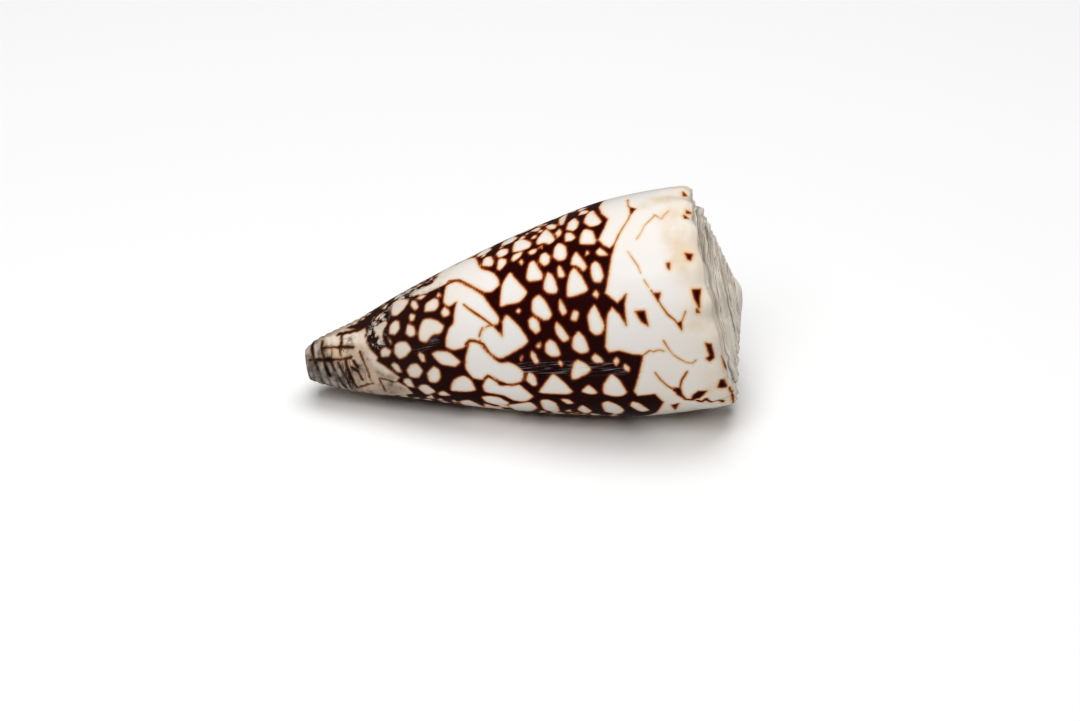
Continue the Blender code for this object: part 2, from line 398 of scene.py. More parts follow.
back = np.array(
    [
        math.sin(CAMERA_AZIMUTH) * math.cos(CAMERA_ELEVATION),
        -math.cos(CAMERA_AZIMUTH) * math.cos(CAMERA_ELEVATION),
        math.sin(CAMERA_ELEVATION),
    ]
)
right = np.array([math.cos(CAMERA_AZIMUTH), math.sin(CAMERA_AZIMUTH), 0.0])
up = np.cross(back, right)
aim = np.array(CAMERA_AIM) + CAMERA_ASIDE * right + CAMERA_RAISED * up
camera_place = aim + CAMERA_DISTANCE * back
camera_data = bpy.data.cameras.new("camera")
camera_data.sensor_width = SENSOR_WIDTH
camera_data.lens = FOCAL_PIXELS * SENSOR_WIDTH / PICTURE_WIDTH
camera_data.clip_start = 0.01
camera = bpy.data.objects.new("camera", camera_data)
camera.matrix_world = Matrix(np.column_stack([right, up, back]).tolist()).to_4x4()
camera.location = Vector(camera_place)
bpy.context.scene.collection.objects.link(camera)
bpy.context.scene.camera = camera


def in_picture(places):
    """Where places fall in the picture, in pixels from its top left corner: a pinhole camera's view."""
    offset = places - camera_place
    depth = -(offset @ back)
    x = PICTURE_WIDTH / 2 + FOCAL_PIXELS * (offset @ right) / depth
    y = PICTURE_HEIGHT / 2 - FOCAL_PIXELS * (offset @ up) / depth
    return np.stack([x, y], axis=-1)


# The shell's marks: a dark brown net over a cream ground, laid down in the shell as it grew, flat as paint
# The cream shows as tents whose points face the way of growth. Those on the side that shows are placed by
# pixels of the picture, and carried onto the shell. The rest is drawn by rule, band by band.

# Cream tents of the main net
MAIN_NET = (
    ((510, 271), (517, 279), (529, 293), (520, 303), (506, 304), (500, 308), (502, 285)),
    ((507, 314), (518, 326), (530, 342), (517, 351), (500, 360), (490, 352), (481, 342), (482, 332),
     (486, 327), (492, 325), (498, 333), (502, 338), (503, 322)),
    ((573, 267), (581, 276), (589, 290), (577, 295), (567, 298), (566, 286), (569, 274)),
    ((538, 294), (546, 300), (552, 314), (549, 320), (543, 321), (531, 313), (533, 300)),
    ((548, 272), (553, 276), (559, 289), (555, 293), (549, 293), (543, 289), (545, 276)),
    ((533, 260), (538, 265), (543, 275), (541, 280), (530, 282), (527, 277), (529, 263)),
    ((545, 252), (550, 256), (550, 264), (545, 266), (539, 262), (540, 255)),
    ((559, 243), (565, 246), (568, 255), (565, 260), (558, 261), (553, 257), (553, 248)),
    ((559, 228), (562, 232), (561, 236), (557, 238), (555, 234)),
    ((545, 229), (551, 232), (555, 240), (550, 245), (543, 243), (536, 245), (536, 240)),
    ((566, 232), (572, 233), (577, 237), (573, 241), (566, 242), (564, 237)),
    ((574, 218), (579, 222), (578, 228), (574, 231), (567, 230), (567, 223)),
    ((593, 210), (598, 216), (601, 221), (598, 225), (590, 227), (583, 223), (586, 214)),
    ((584, 229), (592, 231), (597, 240), (594, 245), (580, 244), (580, 236)),
    ((560, 219), (566, 214), (569, 214), (564, 225), (560, 225)),
    ((545, 226), (552, 224), (557, 225), (554, 229), (548, 229)),
    ((531, 237), (537, 234), (536, 238), (532, 239)),
    ((530, 232), (536, 228), (542, 227), (538, 231)),
    ((513, 248), (516, 242), (521, 239), (532, 243), (530, 248), (521, 251), (514, 252)),
    ((522, 251), (521, 256), (514, 262), (510, 260), (514, 255)),
    ((497, 254), (501, 249), (509, 249), (507, 254), (499, 258)),
    ((498, 258), (505, 259), (506, 264), (500, 271), (496, 268)),
    ((483, 258), (490, 256), (494, 262), (492, 267), (483, 266)),
    ((529, 252), (533, 249), (538, 249), (535, 253), (530, 255)),
    ((539, 247), (541, 245), (543, 247), (541, 249)),
    ((519, 262), (522, 259), (524, 262), (521, 265)),
    ((558, 265), (562, 268), (565, 275), (563, 278), (558, 277), (556, 270)),
    ((575, 252), (581, 257), (588, 267), (584, 272), (577, 266), (571, 264), (572, 257)),
    ((595, 261), (600, 265), (605, 276), (601, 282), (594, 282), (590, 275), (592, 265)),
    ((599, 247), (604, 250), (608, 256), (599, 256), (596, 252)),
    ((586, 250), (590, 254), (585, 256)),
    ((596, 290), (599, 294), (597, 299), (592, 295)),
    ((560, 298), (564, 303), (567, 313), (563, 316), (558, 309)),
    ((574, 310), (579, 313), (577, 321), (572, 320), (571, 314)),
    ((593, 305), (598, 309), (604, 325), (601, 333), (595, 336), (589, 331), (588, 316)),
    ((577, 331), (584, 337), (590, 349), (587, 353), (580, 354), (573, 349), (573, 338)),
    ((556, 322), (563, 328), (569, 339), (564, 342), (556, 335), (554, 327)),
    ((533, 317), (538, 321), (541, 331), (536, 334), (529, 328), (529, 320)),
    ((550, 339), (556, 343), (561, 353), (558, 357), (551, 357), (545, 352), (546, 343)),
    ((539, 342), (542, 346), (539, 349), (536, 346)),
    ((532, 350), (535, 353), (539, 363), (534, 364), (529, 356)),
    ((521, 355), (524, 357), (522, 361), (519, 358)),
    ((519, 308), (521, 311), (518, 314), (516, 311)),
    ((577, 360), (585, 364), (592, 370), (585, 375), (573, 380), (570, 375), (572, 364)),
    ((561, 360), (564, 364), (561, 367), (558, 363)),
    ((596, 353), (601, 357), (604, 363), (596, 363), (592, 358)),
    ((616, 357), (620, 361), (617, 366), (612, 361)),
    ((625, 363), (629, 367), (629, 373), (624, 369)),
    ((529, 371), (534, 376), (538, 385), (532, 387), (525, 380)),
    ((553, 373), (562, 381), (574, 391), (570, 394), (556, 394), (537, 393), (546, 381)),
    ((588, 384), (597, 393), (592, 395), (580, 392)),
    ((612, 373), (620, 380), (627, 393), (618, 397), (604, 394), (604, 385)),
    ((541, 400), (548, 399), (557, 403), (561, 411), (553, 412), (544, 409)),
    ((561, 399), (567, 399), (574, 404), (567, 404)),
    ((583, 404), (592, 411), (586, 414), (576, 410)),
    ((602, 403), (608, 401), (618, 405), (625, 410), (620, 414), (604, 412)),
    ((632, 401), (640, 403), (650, 411), (640, 412), (630, 406)),
)

# Wide cream patches of the pale middle band, parted by thin brown lines
MIDDLE_BAND = (
    ((432, 286), (440, 274), (452, 267), (464, 261), (474, 257), (480, 269), (492, 273), (499, 279),
     (499, 285), (493, 291), (484, 292), (476, 288), (468, 283), (458, 279), (448, 281)),
    ((447, 285), (455, 282), (464, 285), (474, 290), (482, 296), (489, 306), (499, 318), (498, 325),
     (490, 324), (484, 329), (481, 341), (470, 341), (463, 347), (453, 350), (446, 347), (446, 337),
     (449, 328), (454, 324), (454, 312), (457, 300), (449, 306), (444, 303), (445, 293)),
    ((470, 342), (477, 342), (485, 351), (494, 360), (502, 364), (508, 362), (517, 366), (523, 373),
     (521, 382), (508, 384), (499, 380), (491, 375), (484, 380), (474, 378), (466, 368), (466, 358)),
    ((489, 376), (494, 378), (500, 386), (511, 386), (519, 385), (526, 391), (533, 397), (524, 402),
     (513, 401), (503, 395), (486, 392), (484, 385)),
    ((482, 397), (490, 396), (500, 398), (509, 404), (500, 406), (487, 402)),
    ((460, 401), (468, 400), (477, 404), (484, 408), (474, 408), (464, 406)),
    ((508, 405), (516, 404), (530, 402), (538, 407), (530, 411), (516, 411)),
)

# Small rounded patches of the fine net near the siphonal end
SIPHON_NET = (
    ((433, 298), (438, 300), (440, 305), (436, 311), (425, 312), (426, 304)),
    ((423, 319), (431, 318), (440, 321), (444, 326), (441, 334), (433, 335), (426, 343), (419, 341),
     (418, 333)),
    ((444, 306), (449, 310), (450, 315), (444, 318), (441, 312)),
    ((411, 300), (417, 301), (419, 307), (414, 311), (410, 306)),
    ((393, 303), (400, 299), (409, 300), (404, 309), (397, 316), (391, 316)),
    ((410, 313), (415, 315), (415, 321), (410, 321), (408, 316)),
    ((395, 320), (400, 321), (400, 329), (395, 335), (389, 334), (390, 325)),
    ((408, 323), (414, 327), (415, 335), (409, 338), (405, 333)),
    ((399, 342), (406, 341), (412, 349), (406, 356), (399, 360), (394, 353), (395, 345)),
    ((380, 350), (385, 347), (391, 351), (388, 357), (381, 357)),
    ((388, 337), (393, 342), (390, 345)),
    ((419, 352), (424, 355), (427, 362), (421, 362), (417, 356)),
    ((393, 362), (398, 365), (402, 373), (396, 372), (391, 365)),
    ((410, 364), (417, 363), (424, 370), (419, 378), (410, 377), (406, 370)),
    ((433, 366), (440, 369), (441, 378), (437, 383), (428, 382), (427, 373)),
    ((404, 378), (410, 379), (415, 388), (408, 387), (403, 382)),
    ((421, 384), (428, 384), (436, 392), (427, 395), (418, 388)),
    ((431, 353), (438, 350), (449, 352), (461, 362), (456, 367), (440, 365)),
    ((451, 385), (455, 379), (462, 375), (470, 379), (478, 390), (468, 392), (450, 391)),
    ((438, 393), (443, 390), (451, 396), (440, 396)),
    ((437, 292), (441, 293), (441, 298), (437, 297)),
    ((450, 277), (436, 282), (424, 287), (412, 293), (420, 296), (432, 291), (444, 285), (452, 281)),
    ((380, 308), (384, 304), (389, 303), (385, 310)),
    ((374, 319), (380, 314), (384, 313), (377, 321)),
    ((410, 295), (415, 292), (422, 291), (414, 297)),
    ((417, 298), (423, 295), (427, 295), (421, 300)),
    ((376, 326), (386, 320), (388, 323), (382, 332), (382, 342), (377, 336), (373, 331)),
)

# Left edge of the cream shoulder band, from the top of the side that shows to its bottom
SHOULDER_EDGE = (
    (604, 198), (598, 208), (601, 214), (608, 219), (604, 227), (599, 240), (603, 246), (609, 248),
    (614, 243), (612, 256), (608, 275), (605, 293), (611, 297), (617, 303), (621, 300), (625, 294),
    (624, 306), (627, 326), (619, 315), (611, 307), (607, 314), (605, 330), (604, 347), (609, 352),
    (620, 350), (632, 354), (643, 355), (640, 368), (633, 391), (637, 396), (655, 394), (663, 402),
    (655, 413),
)

# Worn beige end of the siphon
SIPHON_EDGE = (
    (346, 328), (356, 330), (365, 328), (368, 335), (366, 343), (371, 350), (378, 357), (376, 361),
    (386, 366), (400, 377), (397, 381), (406, 387), (414, 393),
)

# Worn places: rubbed through, finely scratched with painted glints along the scratches, stained yellow, and
# the end's pale and dark parts, the dark ones with painted shade on the end's lower side
RUBBED = (
    ((368, 330), (376, 316), (386, 311), (387, 322), (383, 334), (384, 345), (376, 350), (368, 341)),
    ((386, 308), (404, 292), (424, 283), (444, 276), (441, 287), (420, 297), (404, 299), (392, 308)),
)
# Fine scratches, with the lamps' glints painted along them as pale streaks
SCRATCHES_WITH_GLINTS = (
    ((518, 364), (560, 362), (626, 364), (626, 374), (570, 375), (518, 373)),
    ((412, 350), (436, 336), (441, 341), (418, 355)),
)
STAINED = (
    ((657, 214), (668, 206), (686, 209), (694, 236), (698, 262), (690, 284), (678, 272), (668, 264),
     (664, 240)),
    ((646, 198), (668, 194), (690, 192), (691, 200), (672, 203), (652, 205)),
    ((688, 324), (697, 319), (708, 321), (711, 331), (698, 336)),
    ((706, 374), (724, 378), (734, 388), (733, 399), (716, 399), (704, 390)),
    ((638, 203), (652, 199), (650, 208), (640, 210)),
)
PALE_END = (
    ((325, 338), (340, 333), (362, 331), (370, 337), (369, 346), (358, 345), (340, 344), (328, 344)),
    ((371, 350), (377, 359), (392, 372), (386, 374), (374, 364), (368, 356)),
)
# Dark parts of the end, partly painted shade: the second lies on the end's lower side, where shade falls
DARK_END_WITH_SHADE = (
    ((302, 338), (312, 335), (319, 340), (321, 350), (324, 362), (329, 374), (334, 388), (318, 386),
     (302, 364)),
    ((322, 350), (334, 360), (346, 366), (353, 380), (362, 396), (336, 392), (324, 366)),
)

# Thin brown lines: half the dark core's width in millimetres, below 0 where only rust shows, and corners
LINES = (
    (0.10, ((446, 284), (450, 281), (458, 280), (467, 283), (475, 288), (485, 293), (491, 293))),
    (0.10, ((464, 304), (470, 309), (476, 313), (483, 319), (492, 326))),
    (0.15, ((466, 345), (470, 341), (476, 341), (482, 344), (486, 350), (491, 355), (497, 359), (503, 362))),
    (0.08, ((483, 327), (481, 332), (480, 337))),
    (0.15, ((485, 379), (488, 376), (492, 377), (498, 382), (505, 385), (512, 385), (518, 384))),
    (0.03, ((628, 200), (629, 206), (632, 210), (628, 220), (620, 234), (613, 247))),
    (-0.09, ((668, 211), (664, 216), (661, 219), (655, 215), (650, 220), (645, 226), (641, 233), (637, 239))),
    (-0.08, ((627, 252), (632, 259), (637, 266), (641, 273))),
    (-0.11, ((643, 279), (648, 287))),
    (0.03, ((651, 291), (657, 299), (661, 305), (668, 314), (675, 321), (681, 328))),
    (0.03, ((680, 327), (682, 320), (685, 311))),
    (0.0, ((663, 341), (668, 349), (674, 354), (680, 359), (686, 363), (692, 363), (696, 360))),
    (0.0, ((643, 355), (649, 350), (654, 351), (658, 350), (664, 351))),
    (0.06, ((655, 373), (661, 380), (668, 386), (676, 391))),
    (0.26, ((674, 390), (680, 394), (686, 399), (694, 400))),
    (0.08, ((679, 390), (682, 380), (687, 371))),
    (0.22, ((697, 400), (702, 402), (706, 399), (712, 402), (718, 400), (723, 402))),
    (0.14, ((729, 388), (732, 392), (732, 397))),
)

# Dark spots and small dark tents on the shoulder band
SPOTS = (
    ((636, 312), (644, 311), (647, 325), (641, 321)),
    ((653, 294), (660, 293), (658, 302)),
    ((630, 207), (635, 209), (631, 214)),
    ((666, 263), (670, 263), (669, 269), (667, 268)),
    ((685, 254), (692, 255), (690, 260), (687, 259)),
    ((693, 290), (700, 290), (699, 308), (694, 298)),
    ((696, 309), (700, 312), (697, 312)),
    ((678, 323), (682, 322), (682, 329)),
    ((706, 343), (711, 345), (714, 358), (710, 361), (706, 359), (710, 356)),
    ((725, 354), (727, 358), (728, 369), (725, 366)),
    ((718, 388), (721, 380), (724, 379), (727, 386), (722, 388)),
    ((690, 400), (694, 394), (699, 391), (707, 391), (703, 395), (699, 398)),
    ((674, 388), (680, 388), (684, 398), (677, 394)),
    ((672, 405), (678, 404), (676, 409)),
    ((683, 192), (686, 195), (684, 196)),
    ((687, 211), (690, 213), (687, 213)),
    ((684, 215), (688, 219), (685, 218)),
)

# Dark lines on the worn end: half their core's width in millimetres, and their corners
SIPHON_LINES = (
    (0.19, ((322, 348), (330, 348), (340, 347), (354, 347))),
    (0.27, ((310, 360), (320, 360), (333, 360), (345, 359), (351, 357))),
    (0.21, ((345, 360), (348, 368), (350, 376), (354, 384), (357, 388))),
    (0.10, ((359, 352), (363, 358), (366, 366), (369, 374), (371, 380), (373, 384))),
    (0.10, ((360, 387), (366, 385), (373, 383))),
    (0.10, ((379, 378), (386, 380), (393, 382), (401, 382))),
    (0.10, ((379, 378), (383, 386), (386, 392))),
    (0.16, ((341, 334), (341, 340), (341, 347))),
    (0.21, ((323, 341), (322, 348), (323, 356), (325, 366), (330, 376))),
    (0.14, ((331, 348), (332, 354), (331, 360))),
    (0.14, ((339, 347), (340, 354), (342, 360))),
    (0.16, ((331, 361), (335, 370), (340, 379), (346, 388))),
    (0.16, ((338, 361), (342, 370), (347, 380), (353, 389))),
    (0.24, ((313, 341), (312, 350), (314, 360), (319, 370))),
    (0.36, ((338, 335), (352, 331), (362, 328), (370, 322), (376, 314), (384, 306), (392, 300))),
    (0.24, ((366, 336), (369, 331), (372, 327))),
    (0.26, ((353, 361), (357, 367))),
    (0.18, ((352, 367), (359, 372), (362, 380))),
)

MILLIMETRES = 1000
girth = 2 * math.pi * np.hypot(table[:, 1], table[:, 2]) * MILLIMETRES
height = table[:, 0] * MILLIMETRES
on_side = (inward_of < 0.2) & (hidden == 0)
row_heights = share[:, 0] * SIDE_HEIGHT * MILLIMETRES
row_girths = 2 * math.pi * MILLIMETRES * side_radius(REFERENCE_TURN, share[:, 0])

# The part of the side that faces the camera, and where each of its vertices is in the picture
side_places = points[side]
outward = np.cross(np.gradient(side_places, axis=1), np.gradient(side_places, axis=0))
from_middle = side_places - side_places.mean(axis=(0, 1))
outward = outward * np.sign(np.einsum("ijk,ijk->ij", outward, from_middle).mean())
shown = side[np.einsum("ijk,ijk->ij", outward, camera_place - side_places) > 0]
shown_pixels = in_picture(points[shown])
SAME_HEIGHT = 0.6


def carry(pixels):
    """Turns, and heights in millimetres, of the shown vertices nearest to pixels of the picture."""
    gaps = ((shown_pixels[None, :, :] - np.array(pixels, float)[:, None, :]) ** 2).sum(axis=-1)
    nearest = shown[gaps.argmin(axis=1)]
    return np.stack([turn[nearest], height[nearest]], axis=-1)


def shown_turns(at_height):
    """The lowest and the highest turn that the camera sees at a height."""
    level = turn[shown][np.abs(height[shown] - at_height) < SAME_HEIGHT]
    return level.min(), level.max()


def near(corners, margin=3.0):
    """Numbers of the vertices on the side that lie within a margin, in millimetres, of the corners' box."""
    low_turn, low_height = corners.min(axis=0)
    high_turn, high_height = corners.max(axis=0)
    beside = np.maximum(low_turn - turn, turn - high_turn) * girth
    beyond = np.maximum(low_height - height, height - high_height)
    return np.nonzero(on_side & (beside < margin) & (beyond < margin))[0]


def sides_from(numbers, corners, ends):
    """For each side of an outline, the way to its start from each vertex, and its run, in millimetres.

    A difference in turn counts as that part of the way round the shell at the vertex.
    """
    for start, end in zip(corners, ends):
        to_start = np.stack([start[1] - height[numbers], (start[0] - turn[numbers]) * girth[numbers]])
        to_end = np.stack([end[1] - height[numbers], (end[0] - turn[numbers]) * girth[numbers]])
        yield to_start, to_end - to_start


def cut_corners(corners, part):
    """A closed outline whose corners are cut off, at this part of each side."""
    ends = np.roll(corners, -1, axis=0)
    kept = np.stack([corners + part * (ends - corners), ends - part * (ends - corners)], axis=1)
    return kept.reshape(-1, 2)


def distance_to(numbers, corners):
    """Distance in millimetres from vertices to a closed outline, negative inside.

    The nearest point of each side is found by projection. A vertex is inside where an odd number of sides
    crosses the ray up from it.
    """
    nearest = np.full(len(numbers), np.inf)
    inside = np.zeros(len(numbers), bool)
    for (ax, ay), (ex, ey) in sides_from(numbers, corners, np.roll(corners, -1, axis=0)):
        part = np.clip(-(ax * ex + ay * ey) / np.maximum(ex * ex + ey * ey, 1e-9), 0, 1)
        nearest = np.minimum(nearest, np.hypot(ax + part * ex, ay + part * ey))
        crosses = (ay > 0) != (ay + ey > 0)
        inside ^= crosses & (ax - ay * ex / np.where(crosses, ey, 1) > 0)
    return np.where(inside, -nearest, nearest)


# The cream patches: for each vertex, its distance to the nearest patch, negative inside
FAR = 3.0
FIRST_CUT = 0.15
SECOND_CUT = 0.25
net = np.full(len(points), FAR)
patch_places = []


def add_patch(corners, outset=0.0):
    """Lay a cream patch with rounded corners, moved out this much, and note its middle and mean reach."""
    numbers = near(corners)
    outline = cut_corners(cut_corners(corners, FIRST_CUT), SECOND_CUT)
    net[numbers] = np.minimum(net[numbers], distance_to(numbers, outline) - outset)
    middle = corners.mean(axis=0)
    way_round = np.interp(middle[1], row_heights, row_girths)
    reach = np.hypot((corners[:, 0] - middle[0]) * way_round, corners[:, 1] - middle[1]).mean()
    patch_places.append((*middle, reach))


for patches, outset in ((MAIN_NET, 0.06), (MIDDLE_BAND, 0.14), (SIPHON_NET, -0.02)):
    for patch in patches:
        add_patch(carry(patch), outset)

# The side that is out of sight: tents strewn in each band of the shell wherever they find room
HIDDEN_BANDS = (
    # from, to, greatest size and the wall between tents in millimetres, and how many are tried
    (9.0, 25.0, 2.2, 0.22, 1500),
    (26.5, 34.5, 7.0, -0.90, 160),
    (36.0, 51.0, 4.2, 0.06, 2200),
)
TENT = ((0.00, 0.62), (0.30, 0.16), (0.48, -0.26), (0.14, -0.42), (-0.40, -0.36), (-0.34, 0.10))
TENT_UNEVEN = 0.08
TENT_POINT_ASIDE = 0.3
TENT_STRETCH = 1.1
LEAST_TENT = 0.8
UNSEEN_FROM_EDGE = 0.055
chance = np.random.default_rng(12)

for band_low, band_high, greatest, wall, tries in HIDDEN_BANDS:
    for attempt in range(tries):
        at_turn = chance.uniform(START_TURN, LIP_TURN + 0.02)
        at_height = chance.uniform(band_low, band_high)
        low_turn, high_turn = shown_turns(at_height)
        if low_turn + UNSEEN_FROM_EDGE < at_turn < high_turn - UNSEEN_FROM_EDGE:
            continue
        way_round = np.interp(at_height, row_heights, row_girths)
        turns, heights, reaches = np.array(patch_places).T
        gap = (np.hypot((at_turn - turns) * way_round, at_height - heights) - reaches).min()
        size = min(greatest * chance.uniform(0.5, 1), 2 * (gap - wall))
        if size < LEAST_TENT:
            continue
        shape = np.array(TENT) + chance.uniform(-TENT_UNEVEN, TENT_UNEVEN, (len(TENT), 2))
        shape[0, 0] = chance.uniform(-TENT_POINT_ASIDE, TENT_POINT_ASIDE)
        around_by = shape[:, 1] * size * TENT_STRETCH / way_round
        add_patch(np.stack([at_turn + around_by, at_height + shape[:, 0] * size], axis=-1))

# The shoulder band and the siphonal end: cream beyond an edge that runs right round, toothed where unseen
SHOULDER_HIDDEN = 52.0
SIPHON_HIDDEN = 10.5
PAST_APEX = 90.0
PAST_TIP = -20.0
TOOTH = 1.4
LEAST_OF_TOOTH = 0.3
TEETH_PER_TURN = 24
EDGE_GAP = 0.03


def toothed(from_turn, to_turn, middle_height):
    """Corners of a toothed edge at a height, from one turn to another."""
    turns = np.arange(from_turn, to_turn, 1 / TEETH_PER_TURN)
    way = np.where(np.arange(len(turns)) % 2 == 0, TOOTH, -TOOTH)
    return np.stack([turns, middle_height + way * chance.uniform(LEAST_OF_TOOTH, 1, len(turns))], axis=-1)


def lay_beyond(pixels, hidden_height, far_height):
    """Lay cream between an edge and a far height, all the way round. Returns numbers and distances."""
    edge = carry(pixels)[::-1]
    before = toothed(START_TURN - 0.1, edge[0, 0] - EDGE_GAP, hidden_height)
    after = toothed(edge[-1, 0] + EDGE_GAP, LIP_TURN + 0.15, hidden_height)
    closing = [(LIP_TURN + 0.2, far_height), (START_TURN - 0.15, far_height)]
    numbers = np.nonzero(on_side)[0]
    distance = distance_to(numbers, np.concatenate([before, edge, after, closing]))
    net[numbers] = np.minimum(net[numbers], distance)
    return numbers, distance


lay_beyond(SHOULDER_EDGE, SHOULDER_HIDDEN, PAST_APEX)
side_numbers, siphon_distance = lay_beyond(SIPHON_EDGE, SIPHON_HIDDEN, PAST_TIP)

# Dark spots on the shoulder band, listed where they show and strewn where they don't
HIDDEN_SPOTS = 9
SPOT_BAND = (58, 68)
SPOT = ((0.0, 1.1), (0.7, -0.5), (-0.6, -0.7))
SPOT_SCALE = (0.008, 1)
SPOT_OUTSET = 0.04
hidden_low, hidden_high = shown_turns(SHOULDER_HIDDEN + 8)


def somewhere_hidden():
    """A turn on the part of the shoulder band that the camera doesn't see."""
    drawn = chance.uniform(hidden_high, hidden_low + 1)
    return drawn - (drawn > LIP_TURN)


spots = [carry(spot) for spot in SPOTS]
for number in range(HIDDEN_SPOTS):
    middle = np.array([somewhere_hidden(), chance.uniform(*SPOT_BAND)])
    spots.append(middle + np.array(SPOT)[:, ::-1] * chance.uniform(0.6, 1.2) * np.array(SPOT_SCALE))
for corners in spots:
    numbers = near(corners)
    net[numbers] = np.maximum(net[numbers], SPOT_OUTSET - distance_to(numbers, corners))
NET_REACH = 1.5
net[~on_side] = -NET_REACH
net = np.clip(net, -NET_REACH, NET_REACH)

# The thin lines, in two layers so that close ones don't disturb each other. A layer holds the distance to its
# nearest line, negative on one side, and half the line's width there, which falls off beyond its ends.
OFF_THE_LINE = 0.5
NO_LINE = 9.0
line_side = np.full((2, len(points)), NO_LINE)
line_half = np.full((2, len(points)), -1.0)


def add_line(layer, half_width, corners):
    """Draw a thin line through corners in a layer."""
    numbers = near(corners)
    last_side = len(corners) - 2
    for which, ((ax, ay), (ex, ey)) in enumerate(sides_from(numbers, corners[:-1], corners[1:])):
        length = np.maximum(np.hypot(ex, ey), 1e-6)
        along = -(ax * ex + ay * ey) / length
        across = (ax * ey - ay * ex) / length
        before = np.maximum(-along, 0)
        after = np.maximum(along - length, 0)
        overshoot = before * (which == 0) + after * (which == last_side)
        round_corner = before * (which > 0) + after * (which < last_side)
        distance = np.hypot(across, round_corner) * np.where(across < 0, -1, 1)
        half = half_width - overshoot - np.maximum(np.abs(distance) - OFF_THE_LINE, 0)
        nearer = half - np.abs(distance) > line_half[layer, numbers] - np.abs(line_side[layer, numbers])
        line_side[layer, numbers[nearer]] = distance[nearer]
        line_half[layer, numbers[nearer]] = half[nearer]


for order, (half_width, line) in enumerate(LINES + SIPHON_LINES):
    add_line(order % 2, half_width, carry(line))

# Zigzag lines on the hidden part of the shoulder band
HIDDEN_LINES = 11
LINE_BAND = (52, 62)
LINE_HALVES = (0.08, 0.16)
LINE_CORNERS = 6
ZIGZAG_TURN = 0.013
ZIGZAG_HEIGHT = 1.5
for number in range(HIDDEN_LINES):
    sideways = chance.choice([-1, -1, 1], LINE_CORNERS) * ZIGZAG_TURN
    ways = np.array([sideways, np.full(LINE_CORNERS, ZIGZAG_HEIGHT)]).T
    line = np.cumsum(ways * chance.uniform(0.4, 1.2, ways.shape), axis=0)
    half_width = chance.uniform(*LINE_HALVES)
    add_line(number % 2, half_width, line + [somewhere_hidden(), chance.uniform(*LINE_BAND)])


def patch_mask(outlines, soft):
    """1 well inside outlines of the picture, 0 outside them, and a soft edge of this width in millimetres."""
    mask = np.zeros(len(points))
    for outline in outlines:
        corners = carry(outline)
        numbers = near(corners)
        inside = smoothstep(-soft / 2, soft / 2, -distance_to(numbers, corners))
        mask[numbers] = np.maximum(mask[numbers], inside)
    return mask


# What the finish reads at each vertex
marks = {"net": net, "inside": hidden}
for layer in range(2):
    marks[f"line_side_{layer}"] = line_side[layer]
    marks[f"line_half_{layer}"] = line_half[layer]

# The siphonal end: worn below its edge, dark at the tip with painted shade over the end's lower side, paler
# in places, and with painted shade in the grooves between the ribs in front
marks["worn_end"] = np.zeros(len(points))
marks["worn_end"][side_numbers] = smoothstep(-0.4, 1.2, -siphon_distance)
marks["pale_end"] = patch_mask(PALE_END, 1.2)
dark_tip = 1 - smoothstep(0.8, 2.6, height + 1.2 * noise(turn * 14, height * 0.5, 31))
# Dark patches of the end, darker towards the tip; their dark holds painted shade of the end's lower side
shaded_dark_patches = patch_mask(DARK_END_WITH_SHADE, 1.6) * np.clip(1.3 - height / 16, 0.5, 1)
marks["dark_end"] = np.maximum(dark_tip, shaded_dark_patches)
# Painted shade in the grooves between the ribs, on the underside and the side towards the camera
rib = 0.65 * np.clip(-rib_wave(turn, share_of, table[:, 0]), 0, 1)
rib = rib * (1 - smoothstep(RIBS_UP_TO * 0.3, RIBS_UP_TO * 0.75, share_of))
marks["rib"] = rib * (1 - smoothstep(0.28, 0.36, turn + 0.03 * noise(turn * 30, height, 33)))
marks["toward_end"] = 0.75 * (1 - smoothstep(13, 30, height + 2 * noise(turn * 8, height * 0.3, 34)))

# The side, with painted glints along its scratches, and the shoulder's rim
marks["rubbed"] = patch_mask(RUBBED, 1.6)
marks["scratched"] = patch_mask(SCRATCHES_WITH_GLINTS, 0.8)
marks["stained"] = 0.65 * patch_mask(STAINED, 3.0)
marks["rim"] = smoothstep(0.90, 0.995, share_of) * (inward_of < 1.0)

# The spire: weathered all over, dark in stretches of the suture between whorls, and flecked at the top
on_spire = inward_of > 0
over_rim = smoothstep(0.0, 0.16, inward_of + 0.05 * noise(turn * 40, inward_of * 9, 32))
at_start = (share_of == 1) * (1 - smoothstep(START_TURN, START_TURN + 0.04, turn))
marks["weathered"] = np.maximum(on_spire * over_rim, at_start)
in_whorl = inward_of % 1
suture = smoothstep(0.66, 0.84, in_whorl) * (1 - smoothstep(0.88, 0.99, in_whorl)) * (inward_of > 0.5)
stretches = np.clip(0.5 + 0.9 * noise((turn - inward_of) * 12, in_whorl * 2, 35), 0, 1)
marks["suture"] = 0.7 * suture * stretches
marks["flecked"] = on_spire * smoothstep(0.34, 0.42, turn % 1) * (1 - smoothstep(0.50, 0.62, turn % 1))

# The mesh, and a map of the coil: turns along it, and share of the height, spread over each whorl
WHORL_SPREAD = 0.05
mesh = bpy.data.meshes.new("cone_shell")
face_list = np.concatenate(skin.faces).tolist() + [[int(n) for n in face] for face in polygons]
mesh.from_pydata(points.tolist(), [], face_list)
mesh.shade_smooth()
for name, values in marks.items():
    mesh.attributes.new(name, "FLOAT", "POINT").data.foreach_set("value", values.astype(np.float32))
coil_map = mesh.uv_layers.new(name="coil")
corner_vertices = np.empty(len(mesh.loops), dtype=np.int64)
mesh.loops.foreach_get("vertex_index", corner_vertices)
within_whorl = 2 * np.minimum(in_whorl, 1 - in_whorl)
coil = np.stack([turn - inward_of, share_of + WHORL_SPREAD * within_whorl], axis=-1)
coil_map.data.foreach_set("uv", coil[corner_vertices].astype(np.float32).ravel())

work = bmesh.new()
work.from_mesh(mesh)
bmesh.ops.recalc_face_normals(work, faces=work.faces)
work.to_mesh(mesh)
work.free()
shell = bpy.data.objects.new("cone_shell", mesh)
bpy.context.scene.collection.objects.link(shell)

